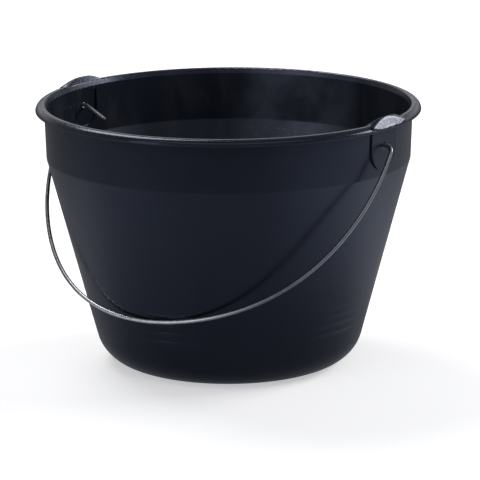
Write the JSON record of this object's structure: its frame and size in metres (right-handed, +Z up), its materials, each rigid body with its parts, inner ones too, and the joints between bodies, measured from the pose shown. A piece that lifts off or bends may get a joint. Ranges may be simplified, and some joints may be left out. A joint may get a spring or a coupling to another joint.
{
  "type": "cement bucket",
  "caption": "Tapered round plastic cement bucket with a turned-down rim, raised rim ears and a hooked wire bail that swings in the ears.",
  "frame": {"origin": "centre of the foot ring, on the surface that the bucket stands on", "axes": "+Z up along the bucket's axis, X through the centres of the ear holes, the bail hangs on the -Y side at rest"},
  "size_m": [0.339, 0.3298, 0.2309],
  "materials": {
    "black_plastic": "injection-moulded recycled polyolefin, blue-black, semi-gloss with scuffs",
    "galvanised_wire": "drawn steel wire, galvanised, satin grey"
  },
  "bodies": {
    "bucket": {"bucket_body": "black_plastic"},
    "bail": {"wire_bail": "galvanised_wire"}
  },
  "joints": [
    {"name": "bail_swing", "type": "hinge", "parent": "bucket", "child": "bail", "pos_m": [0, 0, 0.206], "axis": [-1, 0, 0], "range_deg": [0, 278]}
  ]
}
